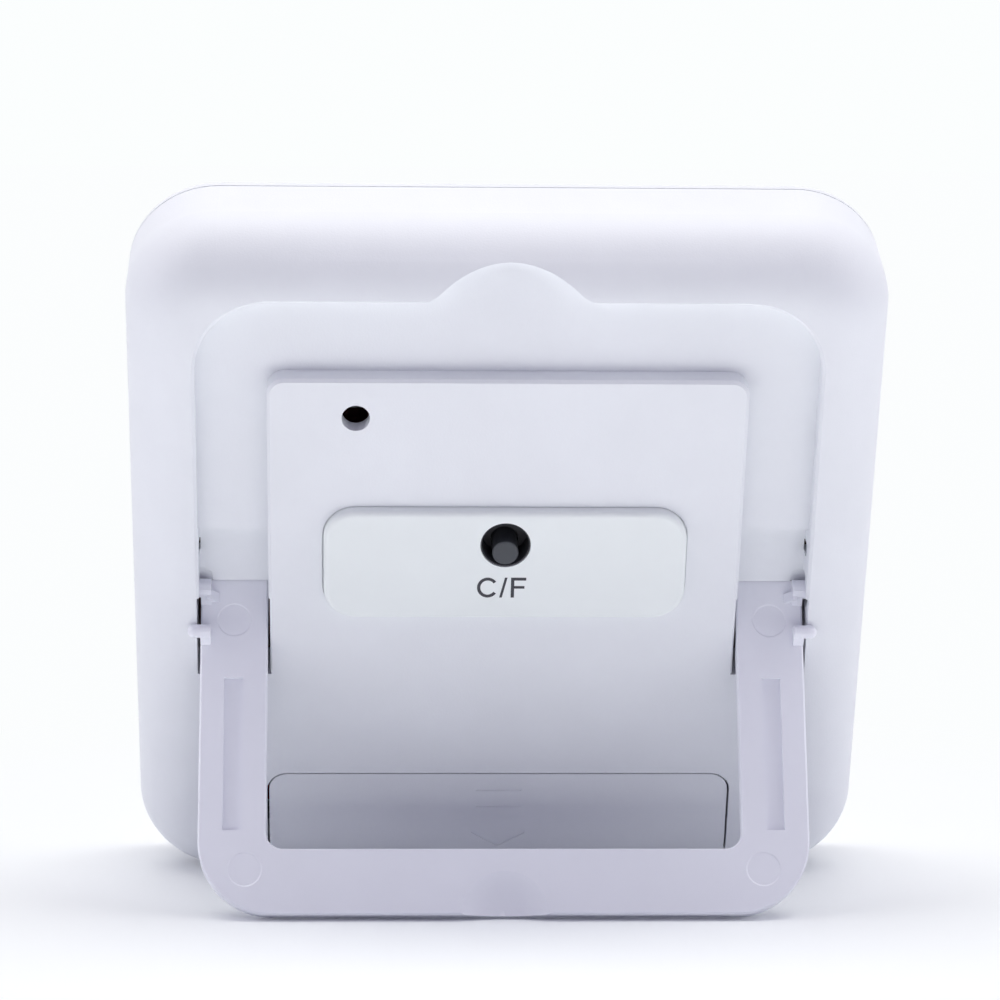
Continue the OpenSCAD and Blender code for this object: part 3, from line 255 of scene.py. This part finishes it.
materials = {
    "back_shell": shell_white,
    "front_shell": bezel_white,
    "kickstand": stand_white,
    "stop_peg_left": stand_white,
    "stop_peg_right": stand_white,
    "magnet_plate": plate_white,
    "magnets": magnet_grey,
    "battery_door": shell_white,
    "display_window": window_clear(),
    "window_tape": tape_black,
    "display_glass": lcd_glass(),
    "display_reflector": reflector,
    "display_holder": holder_white,
    "contact_strip": strip_pink,
    "main_board": board_brown(),
    "board_screws": screw_steel,
    "controller_blob": epoxy_black,
    "quartz_crystal": crystal_can,
    "chip_parts": chip_brown,
    "humidity_sensor": sensor_grey,
    "switch_body": switch_black,
    "switch_cover": screw_steel,
    "switch_dome": contact_metal,
    "switch_plunger": plunger_grey,
    "switch_sleeve": switch_black,
    "battery_cell": cell_sleeve(),
    "spring_contact": contact_metal,
    "plate_contact": contact_metal,
    "positive_lead": lead_red,
    "negative_lead": lead_black,
}
for name, node in nodes.items():
    node.data.materials.clear()
    node.data.materials.append(materials[name])


# Printed pieces: flat outlines in the plan, raised to a thin layer


def mesh_piece(name, verts, faces, material, body):
    mesh = bpy.data.meshes.new(name)
    mesh.from_pydata(verts, [], faces)
    bm = bmesh.new()
    bm.from_mesh(mesh)
    bmesh.ops.recalc_face_normals(bm, faces=bm.faces)
    bm.to_mesh(mesh)
    bm.free()
    obj = bpy.data.objects.new(name, mesh)
    scene.collection.objects.link(obj)
    mesh.materials.append(material)
    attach(obj, body)


def raised(outlines, low, high):
    """Vertices and faces of flat outlines, raised from the plan's z of low to that of high.

    An outline is a run of paired points, one on each of its sides. A pair of equal points is a pointed end.
    """
    verts, faces = [], []
    for run in outlines:
        rings = []
        for a, b in run:
            first = len(verts)
            if a == b:
                verts += [plan(*a, low), plan(*a, high)]
                rings.append((first, first, first + 1, first + 1))
            else:
                verts += [plan(*a, low), plan(*b, low), plan(*b, high), plan(*a, high)]
                rings.append((first, first + 1, first + 2, first + 3))
        sides = [rings[0], rings[-1][::-1]]
        for near, far in zip(rings, rings[1:]):
            for k in range(4):
                after = (k + 1) % 4
                sides.append((near[k], far[k], far[after], near[after]))
        corners = [tuple(dict.fromkeys(side)) for side in sides]
        faces += [face for face in corners if len(face) > 2]
    return verts, faces


def bar(x0, y0, x1, y1):
    return [((x0, y0), (x0, y1)), ((x1, y0), (x1, y1))]


# Unit label on the plate, in the plan's millimetres, with x to the left of who reads it
LABEL_Y = 0.22
LABEL_HALF_H = 1.32
LABEL_LOW, LABEL_HIGH = LABEL_Y - LABEL_HALF_H, LABEL_Y + LABEL_HALF_H
LABEL_PROUD, LABEL_SUNK = 0.012, 0.002
STROKE = 0.38
C_X, C_HALF_W = 1.95, 1.21
C_OPENING = 72
C_STEPS = 40
SLASH_FOOT_X = (0.59, 0.29)
SLASH_TOP_X = (-0.03, -0.32)
F_LEFT, F_RIGHT = -0.73, -2.47
F_STEM_RIGHT = F_LEFT - STROKE
F_ARM_LOW, F_ARM_HIGH = LABEL_Y - 0.13, LABEL_Y + 0.21
F_ARM_RIGHT = F_RIGHT + 0.18

letter_c = []
for i in range(C_STEPS + 1):
    angle = math.radians(C_OPENING / 2 + (360 - C_OPENING) * i / C_STEPS)
    ca, sa = math.cos(angle), math.sin(angle)
    letter_c.append((
        (C_X - C_HALF_W * ca, LABEL_Y + LABEL_HALF_H * sa),
        (C_X - (C_HALF_W - STROKE) * ca, LABEL_Y + (LABEL_HALF_H - STROKE) * sa),
    ))
slash = [
    [(x, LABEL_LOW) for x in SLASH_FOOT_X],
    [(x, LABEL_HIGH) for x in SLASH_TOP_X],
]
letter_f = [
    bar(F_LEFT, LABEL_LOW, F_STEM_RIGHT, LABEL_HIGH),
    bar(F_STEM_RIGHT, LABEL_HIGH - STROKE, F_RIGHT, LABEL_HIGH),
    bar(F_STEM_RIGHT, F_ARM_LOW, F_ARM_RIGHT, F_ARM_HIGH),
]
plate_z = PLATE_FACE[2]
verts, faces = raised([letter_c, slash, *letter_f], plate_z - LABEL_PROUD, plate_z + LABEL_SUNK)
mesh_piece("unit_label", verts, faces, ink("ink_dark", (0.035, 0.035, 0.045)), "housing")

# Digits as seven-segment bars just in front of the display's glass, with x to the right of who reads them
SEGMENTS = {"2": "abged", "4": "fgbc", "6": "afgedc", "8": "abcdefg"}
TIP_GAP = 0.25
UPPER_DIGITS = (("2", -24), ("4", -10.5), ("6", 6))
UPPER_Y, UPPER_W, UPPER_H, UPPER_BAR = 6.5, 10, 19, 2.2
POINT_X, POINT_SIZE = 2.2, 2
LOWER_DIGITS = (("4", -14), ("8", -2))
LOWER_Y, LOWER_W, LOWER_H, LOWER_BAR = -19, 8.5, 16, 1.9
RULE_HALF_W, RULE_LOW, RULE_HIGH = 26, -0.4, 0.1
INK_GAP, INK_THICK = 0.02, 0.04


def pointed_bar(start, end, middle, upright, thick):
    """Run of a bar with pointed ends, from start to end along its length and middle across it."""
    stations = (
        (start + TIP_GAP, 0), (start + thick, thick / 2), (end - thick, thick / 2), (end - TIP_GAP, 0),
    )
    run = [((along, middle - half), (along, middle + half)) for along, half in stations]
    return [(a[::-1], b[::-1]) for a, b in run] if upright else run


def digit(char, x, y, width, height, thick):
    """Bars of one digit, whose lower left corner is at x and y."""
    right, middle, top = x + width, y + height / 2, y + height
    inset = thick / 2
    bars = {
        "a": (x, right, top - inset, False),
        "g": (x, right, middle, False),
        "d": (x, right, y + inset, False),
        "f": (middle, top, x + inset, True),
        "b": (middle, top, right - inset, True),
        "e": (y, middle, x + inset, True),
        "c": (y, middle, right - inset, True),
    }
    return [pointed_bar(*bars[letter], thick) for letter in SEGMENTS[char]]


runs = []
for char, x in UPPER_DIGITS:
    runs += digit(char, x, UPPER_Y, UPPER_W, UPPER_H, UPPER_BAR)
for char, x in LOWER_DIGITS:
    runs += digit(char, x, LOWER_Y, LOWER_W, LOWER_H, LOWER_BAR)
runs.append(bar(POINT_X, UPPER_Y, POINT_X + POINT_SIZE, UPPER_Y + POINT_SIZE))
runs.append(bar(-RULE_HALF_W, RULE_LOW, RULE_HALF_W, RULE_HIGH))
ink_low = max(plan_depth(v.co) for v in nodes["display_glass"].data.vertices) + INK_GAP
verts, faces = raised(runs, ink_low, ink_low + INK_THICK)
mesh_piece("display_digits", verts, faces, ink("lcd_ink", (0.02, 0.024, 0.022)), "housing")

# Floor: lit near the object, where it keeps the shadow, and plain white further out
FLOOR_RADIUS, FLOOR_SIDES = 3, 64
WHITE_FROM, WHITE_FULL = 0.02, 0.12

bm = bmesh.new()
bmesh.ops.create_circle(bm, cap_ends=True, radius=FLOOR_RADIUS, segments=FLOOR_SIDES)
floor_mesh = bpy.data.meshes.new("floor")
bm.to_mesh(floor_mesh)
bm.free()
floor = bpy.data.objects.new("floor", floor_mesh)
scene.collection.objects.link(floor)


def seen_rays(tree):
    """1 where the camera, a gloss or a clear piece sees the surface, 0 where it only lights the object."""
    path = tree.nodes.new("ShaderNodeLightPath").outputs
    seen = math_node(tree, "MAXIMUM", path["Is Camera Ray"], path["Is Glossy Ray"])
    return math_node(tree, "MAXIMUM", seen, path["Is Transmission Ray"])


def mixed(tree, fac, first, second, output):
    """Sends a mix of two shaders to the tree's output node."""
    mix = tree.nodes.new("ShaderNodeMixShader")
    tree.links.new(fac, mix.inputs["Fac"])
    tree.links.new(first, mix.inputs[1])
    tree.links.new(second, mix.inputs[2])
    tree.links.new(mix.outputs["Shader"], tree.nodes[output].inputs["Surface"])


def floor_white():
    """Matt floor that goes over to a plain white away from the origin, where it is seen."""
    mat = bpy.data.materials.new("floor_white")
    mat.use_nodes = True
    tree = mat.node_tree
    lit = tree.nodes["Principled BSDF"]
    lit.inputs["Base Color"].default_value = (*FLOOR, 1)
    lit.inputs["Roughness"].default_value = 0.8
    glow = tree.nodes.new("ShaderNodeEmission")
    glow.inputs["Color"].default_value = (*FLOOR_GLOW, 1)
    place = tree.nodes.new("ShaderNodeNewGeometry")
    length = tree.nodes.new("ShaderNodeVectorMath")
    length.operation = "LENGTH"
    tree.links.new(place.outputs["Position"], length.inputs[0])
    far = tree.nodes.new("ShaderNodeMapRange")
    far.interpolation_type = "SMOOTHSTEP"
    far.inputs["From Min"].default_value = WHITE_FROM
    far.inputs["From Max"].default_value = WHITE_FULL
    tree.links.new(length.outputs["Value"], far.inputs["Value"])
    white = math_node(tree, "MULTIPLY", far.outputs["Result"], seen_rays(tree))
    mixed(tree, white, lit.outputs["BSDF"], glow.outputs["Emission"], "Material Output")
    return mat


floor_mesh.materials.append(floor_white())


def studio():
    """World that is white where it is seen, and a dim violet room for the light that falls on the object."""
    world = bpy.data.worlds.new("studio")
    world.use_nodes = True
    tree = world.node_tree
    room = tree.nodes["Background"]
    room.inputs["Color"].default_value = (*ROOM, 1)
    sky = tree.nodes.new("ShaderNodeBackground")
    sky.inputs["Color"].default_value = (*SKY, 1)
    mixed(tree, seen_rays(tree), room.outputs["Background"], sky.outputs["Background"], "World Output")
    return world


scene.world = studio()

# Lamps: one overhead, a pair at the sides, a weak pair high behind the camera and a lit card on the floor
WARM = (1, 1, 0.95)
CARD = (1, 1, 0.96)
BACK_MIDDLE = (0, 0.03, 0.04)
BACK_LOW = (0, 0.03, 0.03)


def area(name, place, target, size, power, color=(1, 1, 1)):
    data = bpy.data.lights.new(name, "AREA")
    data.shape = "RECTANGLE"
    data.size, data.size_y = size
    data.energy = power
    data.color = color
    lamp = bpy.data.objects.new(name, data)
    lamp.location = place
    lamp.rotation_mode = "QUATERNION"
    lamp.rotation_quaternion = (Vector(target) - Vector(place)).to_track_quat("-Z", "Y")
    scene.collection.objects.link(lamp)


area("overhead", (0, -0.06, 0.8), (0, -0.06, 0), size=(1.2, 0.4), power=6.5, color=WARM)
area("left", (0.7, 0.1, 0.35), BACK_LOW, size=(0.5, 0.5), power=1.6)
area("right", (-0.7, 0.1, 0.35), BACK_LOW, size=(0.5, 0.5), power=1.7)
area("front_left", (0.3, 0.64, 0.68), BACK_MIDDLE, size=(0.3, 0.3), power=0.3)
area("front_right", (-0.3, 0.64, 0.68), BACK_MIDDLE, size=(0.3, 0.3), power=0.3)
area("card", (0, 0.105, 0.002), (0, 0.105, 1), size=(0.3, 0.09), power=0.07, color=CARD)

# Camera at the place from which the photograph was taken, with its angles about x, y and z in degrees
CAMERA_PLACE = (0.016629, 0.421736, 0.096637)
CAMERA_TURN = (83.1423, -0.4404, 177.8208)
SENSOR_MM, LENS_MM = 36, 130.46
CLIP_NEAR, CLIP_FAR = 0.01, 20

cam_data = bpy.data.cameras.new("camera")
cam_data.sensor_width = SENSOR_MM
cam_data.lens = LENS_MM
cam_data.clip_start = CLIP_NEAR
cam_data.clip_end = CLIP_FAR
cam = bpy.data.objects.new("camera", cam_data)
cam.location = CAMERA_PLACE
cam.rotation_euler = [math.radians(a) for a in CAMERA_TURN]
scene.collection.objects.link(cam)
scene.camera = cam

bpy.context.view_layer.update()
